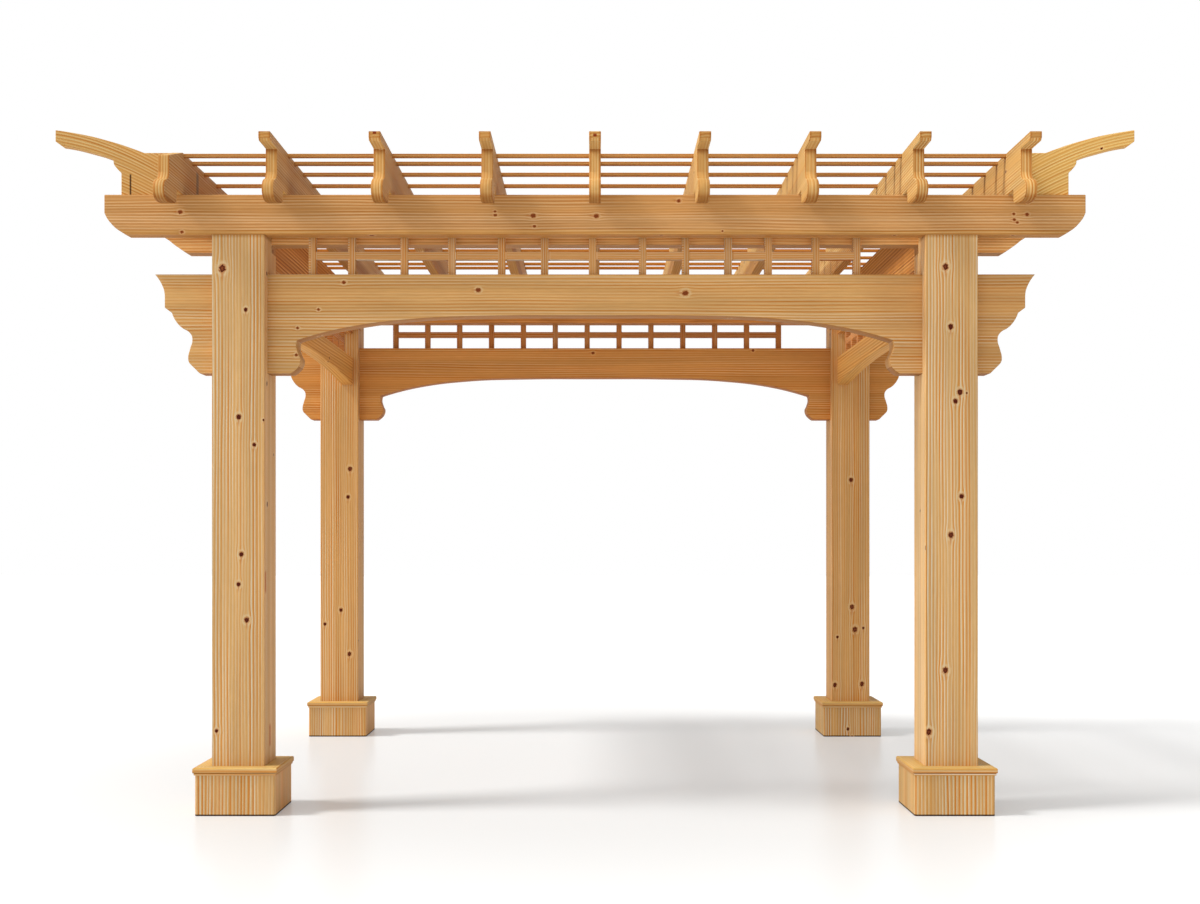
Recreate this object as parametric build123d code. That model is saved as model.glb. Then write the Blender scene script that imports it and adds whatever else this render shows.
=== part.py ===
from build123d import *
from math import sqrt
import os

# Timber pergola: four square posts on boxed feet, an arched beam and a pair of
# headers front and back, plain headers and rails on the sides, slotted rafters
# with shaped tails, thin roof slats and upswept tails over the four corners.
# Millimetres, Z up, front towards -Y, origin on the ground at the centre.

# Posts and their spacing, centre to centre
POST = 241.0
SPAN_X = 3276.0
SPAN_Y = 2684.0

# Boxed feet: a box of boards, a narrow fillet and a cap board
FOOT_SIDE = 366.0
FOOT_BOARD = 28.0
FOOT_HEIGHT = 185.0
FOOT_BEVEL = 7.0
FILLET_LEDGE = 4.5
FILLET_HEIGHT = 11.0
CAP_LEDGE = 9.5
CAP_HEIGHT = 23.0
CAP_BEVEL = 4.0

# Arched beams, through the posts, front and back
BEAM_THICKNESS = 108.0
BEAM_TOP = 2488.0
BEAM_DEPTH = 460.0
SCROLL_REACH = 282.0
BRACKET_REACH = 152.0
CROWN_DEPTH = 190.0
SPRING_DEPTH = 305.0

# Headers: the outer one flush with the posts' outer faces, the inner one with
# their inner faces, and both level on top
HEAD_TOP = 2842.0
OUTER_THICKNESS = 80.0
OUTER_HEIGHT = 183.0
OUTER_REACH = 495.0
OUTER_CUT = 101.0
OUTER_NOSE = 82.0
INNER_THICKNESS = 90.0
INNER_HEIGHT = 238.0
INNER_REACH = 321.0
INNER_CUT = 163.0
INNER_NOSE = 100.0
RELIEF_RISE = 37.0

# Lattices between the arched beams and the headers
BAR = 34.0
MID_RAIL = 36.0
MID_RAIL_UP = 74.0
TOP_RAIL = 40.0
TOP_RAIL_UP = 45.0

# Side frames, in line with the posts
SIDE_INSET = 35.0
SIDE_HEADER_THICKNESS = 90.0
SIDE_HEADER_HEIGHT = 271.0
SIDE_RAIL_THICKNESS = 70.0
SIDE_RAIL_TOP = 2420.0
SIDE_RAIL_DEPTH = 175.0
SIDE_ARCH_RISE = 53.0
SIDE_BARS = 11
SIDE_BAR_START = 201.5

# Rafters, laid front to back on the headers
RAFTERS = 9
RAFTER_OUT = 161.5
RAFTER_THICKNESS = 52.0
RAFTER_HEIGHT = 195.0
NOSE_REACH = 354.0
NOSE_HEIGHT = 40.0
NOSE_CHAMFER = 13.0
NECK_REACH = 209.0
BULB_REACH = 290.0
BULB_HEEL = 88.0
BULB_DROP = 82.0
SHOULDER_RISE = 53.0
BROKEN_HEIGHT = 128.0
BROKEN_RUN = 219.0

# Roof slats, let in flush with the rafters' tops
SLAT_WIDTH = 28.0
SLAT_THICKNESS = 16.0
SLAT_REACH = 150.0
EDGE_SLATS = (25.0, 168.0, 379.0, 612.0)
MIDDLE_SLATS = 6

# Upswept tails on the headers' ends
TAIL_THICKNESS = 56.0
TAIL_REACH = 536.0
TAIL_BODY = 233.0
TAIL_FLAT = 128.0
TAIL_RISE = 105.0
TAIL_NOSE = 52.0
TAIL_CHAMFER_RUN = 28.0
TAIL_CHAMFER_RISE = 20.0
TAIL_KNOB_LOW = 103.0
TAIL_KNOB_HIGH = 165.0
TAIL_KNOB_REACH = 36.0

# Worked out from the sizes above
POST_X = SPAN_X / 2
POST_Y = SPAN_Y / 2
FRONT = -(POST_Y + POST / 2)
REAR_OF_FRONT_POST = -(POST_Y - POST / 2)
POST_INNER_X = POST_X - POST / 2
POST_OUTER_X = POST_X + POST / 2
BEAM_BOTTOM = BEAM_TOP - BEAM_DEPTH
BEAM_FRONT = FRONT + (POST - BEAM_THICKNESS) / 2
OUTER_BOTTOM = HEAD_TOP - OUTER_HEIGHT
INNER_BOTTOM = HEAD_TOP - INNER_HEIGHT
INNER_FRONT = REAR_OF_FRONT_POST - INNER_THICKNESS
HEADER_GAP = POST - OUTER_THICKNESS - INNER_THICKNESS
BAR_CENTRE = FRONT + OUTER_THICKNESS + HEADER_GAP / 2
RAFTER_TOP = HEAD_TOP + RAFTER_HEIGHT
RAFTER_PITCH = 2 * (POST_OUTER_X + RAFTER_OUT) / (RAFTERS - 1)
OUTER_RAFTER_FACE = POST_OUTER_X + RAFTER_OUT + RAFTER_THICKNESS / 2
SIDE_X = POST_INNER_X + SIDE_INSET
SIDE_HEADER_BOTTOM = HEAD_TOP - SIDE_HEADER_HEIGHT

# Below this share a curve counts as straight
STRAIGHT = 1e-7

# Outlines, as shares of the sizes that they are drawn with
# Outer scroll of an arched beam: share of its reach past the post, share of the beam's depth
SCROLL_COVE_SHARES = [(1.0, 0.0), (0.904, 0.084), (0.85, 0.168), (0.84, 0.24)]
SCROLL_STEP_SHARES = [(0.84, 0.24), (0.84, 0.335), (0.723, 0.388)]
SCROLL_WAVE_SHARES = [
    (0.723, 0.388),
    (0.652, 0.477),
    (0.539, 0.546),
    (0.464, 0.57),
    (0.394, 0.624),
    (0.387, 0.665),
    (0.426, 0.755),
    (0.455, 0.83),
    (0.452, 0.87),
    (0.426, 0.902),
]
SCROLL_FOOT_SHARES = [(0.426, 0.902), (0.263, 1.0)]
# Inner bracket: share of its reach past the post, share of the way from the spring to the bottom
BRACKET_WAVE_SHARES = [
    (0.9, 0.0),
    (0.868, 0.15),
    (0.925, 0.39),
    (1.0, 0.575),
    (0.957, 0.76),
    (0.84, 0.9),
    (0.694, 1.0),
]
# Arch: share of the half span, and the fourth power gives its flat crown
ARCH_SHARES = [1.0, 0.9, 0.76, 0.58, 0.3]
# Lattice bars, which stand unevenly in the front: share of the way from the middle to a post
FRONT_BAR_SHARES = [-0.868, -0.747, -0.586, -0.44, -0.287, -0.155, -0.008, 0.146, 0.278, 0.409, 0.532, 0.678, 0.804]
BACK_BAR_SHARES = [-0.851 + 0.13625 * i for i in range(13)]
# Hollow under a side rail: share of its half length
HOLLOW_SHARES = [1.0, 0.7, 0.35]
# Header ends below the straight nose: share of the cut's length, share of its height
OUTER_END_SHARES = [(0.0, 0.0), (0.109, 0.238), (0.277, 0.465), (0.535, 0.723), (0.842, 0.917), (1.0, 1.0)]
INNER_END_SHARES = [(0.0, 0.0), (0.07, 0.19), (0.2, 0.345), (0.413, 0.512), (0.7, 0.776), (1.0, 1.0)]
# Rafter bulb: share of the way from its heel to its front, share of its drop below the header top
BULB_BELLY_SHARES = [
    (0.035, -0.707),
    (0.307, -0.902),
    (0.554, -0.988),
    (0.752, -1.0),
    (0.891, -0.902),
    (0.98, -0.683),
    (1.0, -0.39),
    (0.95, -0.098),
    (0.842, 0.098),
    (0.693, 0.244),
]
# Knob of the upswept tail: share of its reach, share of the way down to the straight edge
KNOB_SHARES = [(1.0, 0.0), (0.95, 0.35), (0.55, 0.68), (0.0, 1.0)]
# Upswept tail: share of the rising stretch, share of the rise
TAIL_TOP_SHARES = [(0.137, 0.2), (0.272, 0.38), (0.407, 0.533), (0.603, 0.733), (0.738, 0.838), (0.897, 0.943), (1, 1)]
TAIL_UNDER_SHARES = [(0.0, 0.0), (0.19, 0.27), (0.44, 0.54), (0.75, 0.84), (1.0, 1.0)]


def block(x0, x1, y0, y1, z0, z1):
    """Box between two corners."""
    middle = Pos((x0 + x1) / 2, (y0 + y1) / 2, (z0 + z1) / 2)
    return middle * Box(x1 - x0, y1 - y0, z1 - z0)


def straight(points):
    return ("straight", points)


def curved(points):
    return ("curved", points)


def mirrored(runs):
    """The same runs on the other side of zero, in the opposite order."""
    return [(kind, [(-u, v) for u, v in reversed(points)]) for kind, points in reversed(runs)]


def arc(start, end, way):
    """Arc that leaves start along way, or a line where that is straight."""
    chord = end - start
    if way.cross(chord).length < STRAIGHT * chord.length:
        return Line(start, end)
    return TangentArc(start, end, tangent=way)


def bend(start, way_out, end, way_in):
    """Two arcs that leave start along one way, reach end along the other and meet smoothly."""
    chord = end - start
    both = way_out + way_in
    slack = 4 - both.dot(both)
    pull = chord.dot(both)
    if slack < STRAIGHT:
        reach = chord.dot(chord) / (2 * pull)
    else:
        reach = (sqrt(pull**2 + slack * chord.dot(chord)) - pull) / slack
    a = start + way_out * reach
    b = end - way_in * reach
    middle = (a + b) / 2
    return [arc(start, middle, way_out), arc(middle, end, (b - a).normalized())]


def ways(corners):
    """Direction of a smooth curve at each of its corners, from the circle through its neighbours."""
    chords = [b - a for a, b in zip(corners, corners[1:])]
    inner = [(a.normalized() * b.length + b.normalized() * a.length).normalized() for a, b in zip(chords, chords[1:])]
    first = chords[0].normalized()
    last = chords[-1].normalized()
    start = first * (2 * first.dot(inner[0])) - inner[0]
    end = last * (2 * last.dot(inner[-1])) - inner[-1]
    return [start, *inner, end]


def prism(runs, spot, push):
    """Solid from an outline of straight and curved runs, drawn by spot and pushed along a vector."""
    edges = []
    for kind, points in runs:
        corners = [Vector(*spot(u, v)) for u, v in points]
        if kind == "straight":
            edges += [Line(a, b) for a, b in zip(corners, corners[1:])]
            continue
        directions = ways(corners)
        legs = zip(corners, directions, corners[1:], directions[1:])
        edges += [edge for leg in legs for edge in bend(*leg)]
    return extrude(Face(Wire(edges)), amount=Vector(*push).length, dir=push)


def across(runs, y, thickness):
    """Outline drawn in X and Z at y, as thick as said towards +Y."""
    return prism(runs, lambda u, v: (u, y, v), (0, thickness, 0))


def along(runs, x, thickness):
    """Outline drawn in Y and Z, centred on x."""
    return prism(runs, lambda u, v: (x - thickness / 2, u, v), (thickness, 0, 0))


def slat_fronts():
    """Front edges of the slats, from the front header to the back one."""
    first = [FRONT + gap for gap in EDGE_SLATS]
    last = [-y - SLAT_WIDTH for y in reversed(first)]
    step = (last[0] - first[-1]) / (MIDDLE_SLATS + 1)
    middle = [first[-1] + step * (i + 1) for i in range(MIDDLE_SLATS)]
    return first, middle, last


def post():
    """Front right post, rebated for both headers and mortised for the beam."""
    x0, x1 = POST_INNER_X, POST_OUTER_X
    y0, y1 = FRONT, REAR_OF_FRONT_POST
    body = block(x0, x1, y0, y1, 0, HEAD_TOP)
    body -= block(x0, x1, y0, y0 + OUTER_THICKNESS, OUTER_BOTTOM, HEAD_TOP)
    body -= block(x0, x1, INNER_FRONT, y1, INNER_BOTTOM, HEAD_TOP)
    body -= block(x0, x1, BEAM_FRONT, BEAM_FRONT + BEAM_THICKNESS, BEAM_BOTTOM, BEAM_TOP)
    return body


def ring(side, hole, z0, z1, bevel, edges_from):
    """Square collar round the front right post, with its outer edges bevelled."""
    outer = Box(side, side, z1 - z0)
    outer = chamfer(edges_from(outer), bevel) if bevel else outer
    body = outer - Box(hole, hole, z1 - z0)
    return Pos(POST_X, -POST_Y, (z0 + z1) / 2) * body


def mitred(collar):
    """Four boards with mitred ends, cut from a collar round the front right post."""
    plan = Polyline((0, 0), (FOOT_SIDE, -FOOT_SIDE), (FOOT_SIDE, FOOT_SIDE), close=True)
    wedge = extrude(make_face(plan), HEAD_TOP)
    quarters = [Pos(POST_X, -POST_Y, 0) * Rot(0, 0, turn) * wedge for turn in (0, 90, 180, 270)]
    return Compound(children=[(collar & quarter).solids()[0] for quarter in quarters])


def foot():
    """Box of four boards round the front right post, with bevelled corners."""
    hole = FOOT_SIDE - 2 * FOOT_BOARD
    return mitred(ring(FOOT_SIDE, hole, 0, FOOT_HEIGHT, FOOT_BEVEL, lambda b: b.edges().filter_by(Axis.Z)))


def foot_cap():
    """Four cap boards, each with its fillet below, that close the box against the post."""
    fillet_top = FOOT_HEIGHT + FILLET_HEIGHT
    fillet = ring(FOOT_SIDE + 2 * FILLET_LEDGE, POST, FOOT_HEIGHT, fillet_top, 0, None)
    cap = ring(
        FOOT_SIDE + 2 * CAP_LEDGE,
        POST,
        fillet_top,
        fillet_top + CAP_HEIGHT,
        CAP_BEVEL,
        lambda b: b.faces().sort_by(Axis.Z)[-1].edges(),
    )
    return mitred(fillet + cap)


def scroll(points):
    return [(POST_OUTER_X + reach * SCROLL_REACH, BEAM_TOP - down * BEAM_DEPTH) for reach, down in points]


def bracket(points):
    drop = BEAM_DEPTH - SPRING_DEPTH
    spring = BEAM_TOP - SPRING_DEPTH
    return [(POST_INNER_X - reach * BRACKET_REACH, spring - down * drop) for reach, down in points]


def arched_beam():
    """Front beam: scrolled ends, bulging brackets inside the posts and a flat-crowned arch."""
    wave = bracket(BRACKET_WAVE_SHARES)
    half_span = wave[0][0]
    crown = BEAM_TOP - CROWN_DEPTH
    rise = SPRING_DEPTH - CROWN_DEPTH
    arch = [(half_span * s, crown - rise * s**4) for s in ARCH_SHARES]
    arch += [(0, crown)] + [(-x, z) for x, z in reversed(arch)]
    foot_line = scroll(SCROLL_FOOT_SHARES)
    right = [
        curved(scroll(SCROLL_COVE_SHARES)),
        straight(scroll(SCROLL_STEP_SHARES)),
        curved(scroll(SCROLL_WAVE_SHARES)),
        straight([*foot_line, wave[-1]]),
        curved(list(reversed(wave))),
    ]
    tip = scroll(SCROLL_COVE_SHARES)[0]
    top = straight([(-tip[0], tip[1]), tip])
    return across([top, *right, curved(arch), *mirrored(right)], BEAM_FRONT, BEAM_THICKNESS)


def header_end(end_x, bottom, cut, nose, shares):
    """Straight nose and cut lower corner of a header's right end."""
    low = HEAD_TOP - nose
    fall = low - bottom
    curve = [(end_x - back * cut, low - down * fall) for back, down in shares]
    return [straight([(end_x, HEAD_TOP), (end_x, low)]), curved(curve)]


def outer_header():
    end_x = POST_OUTER_X + OUTER_REACH
    right = header_end(end_x, OUTER_BOTTOM, OUTER_CUT, OUTER_NOSE, OUTER_END_SHARES)
    top = straight([(-end_x, HEAD_TOP), (end_x, HEAD_TOP)])
    foot_x = end_x - OUTER_CUT
    bottom = straight([(foot_x, OUTER_BOTTOM), (-foot_x, OUTER_BOTTOM)])
    return across([top, *right, bottom, *mirrored(right)], FRONT, OUTER_THICKNESS)


def inner_header():
    """Inner header: shorter and deeper, with its underside stepped up between the posts."""
    end_x = POST_OUTER_X + INNER_REACH
    raised = INNER_BOTTOM + RELIEF_RISE
    right = header_end(end_x, INNER_BOTTOM, INNER_CUT, INNER_NOSE, INNER_END_SHARES)
    step = [(end_x - INNER_CUT, INNER_BOTTOM), (POST_INNER_X, INNER_BOTTOM), (POST_INNER_X, raised)]
    right.append(straight(step))
    top = straight([(-end_x, HEAD_TOP), (end_x, HEAD_TOP)])
    middle = straight([(POST_INNER_X, raised), (-POST_INNER_X, raised)])
    return across([top, *right, middle, *mirrored(right)], INNER_FRONT, INNER_THICKNESS)


def grille(places, centre_y, low, high, rail_low):
    """Row of upright square bars along X with a thin rail from the first to the last."""
    half = BAR / 2
    near, far = centre_y - half, centre_y + half
    body = block(places[0] - half, places[-1] + half, near, far, rail_low, rail_low + MID_RAIL)
    for x in places:
        body += block(x - half, x + half, near, far, low, high)
    return body


def lattice(shares):
    """Front lattice, with a top rail held between the headers."""
    places = [share * POST_INNER_X for share in shares]
    rail_low = OUTER_BOTTOM + TOP_RAIL_UP
    y0 = FRONT + OUTER_THICKNESS
    rail = block(places[0] - BAR / 2, places[-1] + BAR / 2, y0, y0 + HEADER_GAP, rail_low, rail_low + TOP_RAIL)
    return rail + grille(places, BAR_CENTRE, BEAM_TOP, rail_low, BEAM_TOP + MID_RAIL_UP)


def side_header():
    x0 = SIDE_X
    y = REAR_OF_FRONT_POST
    return block(x0, x0 + SIDE_HEADER_THICKNESS, y, -y, SIDE_HEADER_BOTTOM, HEAD_TOP)


def side_rail():
    """Right side rail between the posts, hollowed a little underneath."""
    y = REAR_OF_FRONT_POST
    low = SIDE_RAIL_TOP - SIDE_RAIL_DEPTH
    crown = low + SIDE_ARCH_RISE
    half_arch = [(y * s, crown - SIDE_ARCH_RISE * s * s) for s in HOLLOW_SHARES]
    arch = curved([*half_arch, (0, crown), *[(-u, v) for u, v in reversed(half_arch)]])
    runs = [straight([(-y, low), (-y, SIDE_RAIL_TOP), (y, SIDE_RAIL_TOP), (y, low)]), arch]
    return along(runs, SIDE_X + SIDE_RAIL_THICKNESS / 2, SIDE_RAIL_THICKNESS)


def side_lattice():
    """Right side lattice: upright bars between the rail and the header, and one thin rail."""
    first = REAR_OF_FRONT_POST + SIDE_BAR_START
    places = [first - 2 * first * i / (SIDE_BARS - 1) for i in range(SIDE_BARS)]
    middle = (SIDE_RAIL_TOP + SIDE_HEADER_BOTTOM) / 2
    body = grille(places, 0, SIDE_RAIL_TOP, SIDE_HEADER_BOTTOM, middle - MID_RAIL / 2)
    return Pos(SIDE_X + SIDE_RAIL_THICKNESS / 2, 0, 0) * Rot(0, 0, 90) * body


def tail_runs(broken):
    """Front half of a rafter's outline, from its underside on the header to its top."""
    heel = FRONT - BULB_HEEL
    run = BULB_REACH - BULB_HEEL
    belly = [(heel - share * run, HEAD_TOP + drop * BULB_DROP) for share, drop in BULB_BELLY_SHARES]
    neck_y = FRONT - NECK_REACH
    belly.append((neck_y, HEAD_TOP + SHOULDER_RISE))
    runs = [straight([(heel, HEAD_TOP), belly[0]]), curved(belly)]
    if broken:
        stub = (neck_y, HEAD_TOP + BROKEN_HEIGHT)
        runs.append(straight([belly[-1], stub, (neck_y + BROKEN_RUN, RAFTER_TOP)]))
        return runs
    nose_y = FRONT - NOSE_REACH
    under = RAFTER_TOP - NOSE_HEIGHT
    corners = [belly[-1], (neck_y, under), (nose_y + NOSE_CHAMFER, under)]
    corners += [(nose_y, under + NOSE_CHAMFER), (nose_y, RAFTER_TOP)]
    return runs + [straight(corners)]


def rafter(x, broken):
    """Rafter with shaped tails and slots for the slats. The broken one has lost its front nose."""
    front = tail_runs(broken)
    back = mirrored(tail_runs(False))
    top = straight([front[-1][1][-1], back[0][1][0]])
    bottom = straight([back[-1][1][-1], front[0][1][0]])
    body = along([*front, top, *back, bottom], x, RAFTER_THICKNESS)
    half = RAFTER_THICKNESS / 2
    for group in slat_fronts():
        for y in group:
            slot = (x - half, x + half, y, y + SLAT_WIDTH, RAFTER_TOP - SLAT_THICKNESS, RAFTER_TOP)
            body -= block(*slot)
    return body


def slats(fronts, short):
    """One group of slats. The ones named short stop at the outer rafters, against the corner tails."""
    bodies = []
    for y in fronts:
        reach = OUTER_RAFTER_FACE + (0 if y in short else SLAT_REACH)
        bodies.append(block(-reach, reach, y, y + SLAT_WIDTH, RAFTER_TOP - SLAT_THICKNESS, RAFTER_TOP))
    return Compound(children=bodies)


def corner_tail():
    """Front right upswept tail, on the header's end and against the last rafter."""
    x0 = OUTER_RAFTER_FACE
    tip = x0 + TAIL_REACH
    edge = x0 + TAIL_BODY
    rise_x = x0 + TAIL_FLAT
    rising = tip - rise_x
    top = [(rise_x, RAFTER_TOP)]
    top += [(rise_x + rising * u, RAFTER_TOP + TAIL_RISE * v) for u, v in TAIL_TOP_SHARES]
    tip_high = RAFTER_TOP + TAIL_RISE
    tip_low = tip_high - TAIL_NOSE
    chamfer_x = tip - TAIL_CHAMFER_RUN
    chamfer_low = tip_low - TAIL_CHAMFER_RISE
    knob_x = edge + TAIL_KNOB_REACH
    knob_high = HEAD_TOP + TAIL_KNOB_HIGH
    knob_low = HEAD_TOP + TAIL_KNOB_LOW
    knob_fall = knob_high - knob_low
    under_run = chamfer_x - knob_x
    under_rise = chamfer_low - knob_high
    under = [(knob_x + under_run * u, knob_high + under_rise * v) for u, v in TAIL_UNDER_SHARES]
    knob = [(edge + TAIL_KNOB_REACH * u, knob_high - knob_fall * v) for u, v in KNOB_SHARES]
    runs = [
        curved(top),
        straight([(tip, tip_high), (tip, tip_low), (chamfer_x, chamfer_low)]),
        curved(under[::-1]),
        curved(knob),
        straight([(edge, knob_low), (edge, HEAD_TOP), (x0, HEAD_TOP), (x0, RAFTER_TOP), (rise_x, RAFTER_TOP)]),
    ]
    return across(runs, FRONT + (OUTER_THICKNESS - TAIL_THICKNESS) / 2, TAIL_THICKNESS)


def write(name, shape):
    export_step(shape, f"parts/{name}.step")


def write_corners(name, front_right):
    """The same piece at the four corners."""
    back_right = mirror(front_right, about=Plane.XZ)
    write(f"{name}_front_right", front_right)
    write(f"{name}_front_left", mirror(front_right, about=Plane.YZ))
    write(f"{name}_back_right", back_right)
    write(f"{name}_back_left", mirror(back_right, about=Plane.YZ))


def write_front_back(name, front):
    write(f"{name}_front", front)
    write(f"{name}_back", mirror(front, about=Plane.XZ))


def write_sides(name, right):
    write(f"{name}_right", right)
    write(f"{name}_left", mirror(right, about=Plane.YZ))


os.makedirs("parts", exist_ok=True)
write_corners("post", post())
write_corners("foot_box", foot())
write_corners("foot_cap", foot_cap())
write_corners("corner_tail", corner_tail())
write_front_back("arched_beam", arched_beam())
write_front_back("outer_header", outer_header())
write_front_back("inner_header", inner_header())
write("lattice_front", lattice(FRONT_BAR_SHARES))
write("lattice_back", mirror(lattice(BACK_BAR_SHARES), about=Plane.XZ))
write_sides("side_header", side_header())
write_sides("side_rail", side_rail())
write_sides("side_lattice", side_lattice())
for number in range(RAFTERS):
    rafter_x = (number - (RAFTERS - 1) / 2) * RAFTER_PITCH
    write(f"rafter_{number + 1}", rafter(rafter_x, number == 0))
first_slats, middle_slats, last_slats = slat_fronts()
write("slats_front", slats(first_slats, first_slats[:1]))
write("slats_middle", slats(middle_slats, []))
write("slats_back", slats(last_slats, last_slats[-1:]))
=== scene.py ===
import math

import bpy
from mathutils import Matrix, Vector


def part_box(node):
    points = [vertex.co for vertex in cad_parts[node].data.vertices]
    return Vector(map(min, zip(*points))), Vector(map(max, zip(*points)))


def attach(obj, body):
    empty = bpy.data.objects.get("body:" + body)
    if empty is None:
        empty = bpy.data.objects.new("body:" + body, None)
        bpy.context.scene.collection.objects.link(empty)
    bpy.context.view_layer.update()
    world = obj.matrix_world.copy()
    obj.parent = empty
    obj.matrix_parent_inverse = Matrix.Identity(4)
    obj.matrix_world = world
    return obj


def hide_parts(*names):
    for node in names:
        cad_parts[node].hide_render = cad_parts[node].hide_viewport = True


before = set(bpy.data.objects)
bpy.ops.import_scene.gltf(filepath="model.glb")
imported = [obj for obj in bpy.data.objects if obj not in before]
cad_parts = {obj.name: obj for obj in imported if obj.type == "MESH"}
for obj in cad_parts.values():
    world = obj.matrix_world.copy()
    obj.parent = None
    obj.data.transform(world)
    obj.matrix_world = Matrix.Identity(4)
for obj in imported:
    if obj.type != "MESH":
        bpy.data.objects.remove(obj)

bl_info = {
    "name": "Timber pergola",
    "version": (1, 0, 0),
    "blender": (4, 5, 0),
    "location": "3D View > Sidebar > Pergola",
    "description": "Dresses the frame of a timber pergola in planed pine and lights it in a pale studio",
    "category": "Object",
}

# Photograph: size in pixels, and the level one-point view that was fitted to it
PHOTO_WIDTH = 1200
PHOTO_HEIGHT = 904
CENTRE_COLUMN = 595
HORIZON_ROW = 537
FOCAL_PIXELS = 1480.0
SENSOR = 36.0
EYE = Vector((0.0, -8.2575, 1.270))

POSTS = ("front_left", "front_right", "back_left", "back_right")
RAFTERS = 9
MIDDLE_RAFTER = 5

# Knots that the photograph shows on front faces: column, row and radius in its pixels
KNOT_PIXELS = {
    "post_front_left": (
        (222.3, 268.4, 3.1), (245.7, 309.7, 1.7), (238.7, 417, 2.2), (263.5, 420, 1),
        (254.2, 444.7, 1.7), (241.3, 554.3, 2.1), (238.5, 584.3, 1.9), (246.7, 620, 2.3),
        (216.7, 730.8, 1.6),
    ),
    "post_front_right": (
        (945.5, 266.7, 2.6), (950.7, 326.7, 2.3), (960, 392.2, 2.4), (955.7, 401.2, 2.1),
        (966, 393, 1), (961.5, 496.3, 2.1), (950.8, 535, 2.5), (945.5, 670.3, 2.5),
        (929, 732, 2.6),
    ),
    "post_back_left": (
        (341, 610, 1.6), (325, 624, 1.4), (349.5, 654, 1.8), (348, 497, 1.6), (350, 469, 1.9),
    ),
    "post_back_right": (
        (852, 607, 2), (855, 629.5, 2.2), (863, 628, 1.2), (837.5, 637, 1.2), (835, 685, 1.8),
        (862, 684, 1.9), (851, 480, 1.8),
    ),
    "outer_header_front": (
        (180.3, 212, 1.7), (182, 232, 1.3), (495, 211.5, 1), (495.3, 215, 1.3),
        (533.2, 215.7, 1.9), (534.5, 226.3, 1.2), (596.3, 216, 1.9), (678.8, 200.7, 1.5),
        (722.5, 231, 0.8), (1013.8, 214, 1.2), (1027, 214.5, 1.5), (1014.3, 219.6, 1.3),
        (1017.3, 222.2, 1.2), (1028, 202, 1.3),
    ),
    "arched_beam_front": (
        (297.6, 328, 1.2), (296.3, 355, 1.3), (343.8, 282.4, 1.5), (478.3, 290, 1.9),
        (685.3, 293, 2.4), (318.5, 309.5, 1.2),
    ),
    "arched_beam_back": ((593, 353, 1.2), (753, 350.5, 1.1)),
    "foot_box_back_right": ((848, 729, 1.3), (852, 737, 1.2)),
}

# Ends of the dark crack on the front left corner tail and of the grey strip on the first rafter: column, row
CRACK_HEAD = (130.5, 175)
CRACK_FOOT = (130.5, 194)
STRIP_HEAD = (197.5, 175)
STRIP_FOOT = (197.5, 194)

# How far under the top a rafter's nose has a red mark, by the rafter's number
RED_MARK_DEPTHS = {3: 0.006, 5: 0.017}

# Streaks on the inner side of the front left post: column, row of the head, row of the foot
SIDE_STREAKS = ((265.5, 574, 590), (270, 727, 743))

# Late and early wood of the growth lines, as factors of a timber's own colour
SOFT_LINES = ((0.90, 0.50, 0.08), (1.10, 1.58, 3.0))
BEAM_LINES = ((0.82, 0.52, 0.22), (1.12, 1.43, 2.35))
DARK_LINES = ((0.68, 0.47, 0.26), (1.14, 1.43, 2.10))
STRONG_LINES = ((0.52, 0.36, 0.22), (1.30, 1.75, 2.60))
RAFTER_LINES = ((0.76, 0.49, 0.24), (1.12, 1.42, 2.10))

# Tints of the finishes and of the painted light and shade, as factors of a timber's own colour
KNOT_RIM = (0.72, 0.34, 0.12)
KNOT_HALO = (1.08, 1.32, 1.9)
END_GRAIN = (0.88, 0.80, 0.70)
PLAIN = (1.0, 1.0, 1.0)
BACK_PAINTED_SHADE = (0.98, 0.78, 0.56)
BACK_POST_PAINTED_SHADE = (1.0, 0.91, 0.78)
LEFT_HEADER_PAINTED_SHADE = (0.94, 0.88, 0.84)
LEFT_TAIL_PAINTED_SHADE = (0.98, 0.93, 0.88)
RIGHT_TAIL_PAINTED_LIGHT = (1.24, 1.22, 1.06)
LEFT_POST_LIGHT = (1.13, 1.10, 1.09)
RIGHT_POST_LIGHT = (1.20, 1.25, 1.26)
LEFT_FOOT_LIGHT = (1.20, 1.12, 1.05)
RIGHT_FOOT_LIGHT = (1.0, 1.03, 0.97)
STEP_PAINTED_LIGHT = (1.75, 1.85, 1.9)
RAFTER_SIDE_SHADE = (0.90, 0.85, 0.98)
RAFTER_SHADE = (0.70, 0.56, 0.44)
NEAR_SLATS = (1.02, 1.10, 1.22)
FAR_SLAT_SHADE = (1.05, 0.77, 0.44)
CAP_SHADOW_LINE = (0.50, 0.33, 0.16)
PAINTED_FILLET_LIGHT = (1.15, 1.4, 2.0)
ARCH_UNDERSIDE_SHADE = (0.68, 0.54, 0.40)
RIGHT_BEAM_SHADE = (0.92, 0.88, 0.86)
PAINTED_HALF_LIGHT = (1.03, 1.10, 1.28)
PAINTED_CAP_LIGHT = (1.05, 1.17, 1.0)
NOSE_FRONT = (1.0, 0.92, 0.86)
HEADER_FOOT_SHADE = (0.93, 0.85, 0.63)
FLOOR_SHADOW_LINE = (0.10, 0.08, 0.08)
SHADED_TOP = (0.72, 0.60, 0.45)
DARK_UPRIGHT_EDGE = (0.80, 0.62, 0.45)
NOSE_SHADE = (0.62, 0.46, 0.33)
RED_MARK = (0.42, 0.12, 0.06)
STREAK = (0.75, 0.42, 0.25)
CRACK = (0.16, 0.13, 0.13)
GREY_STRIP = (0.50, 0.62, 0.95)
KNOT_HEART = (0.075, 0.010, 0.003, 1.0)
KNOT_PITH = (0.22, 0.055, 0.014, 1.0)
RED_HEART = (0.20, 0.045, 0.010, 1.0)

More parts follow.
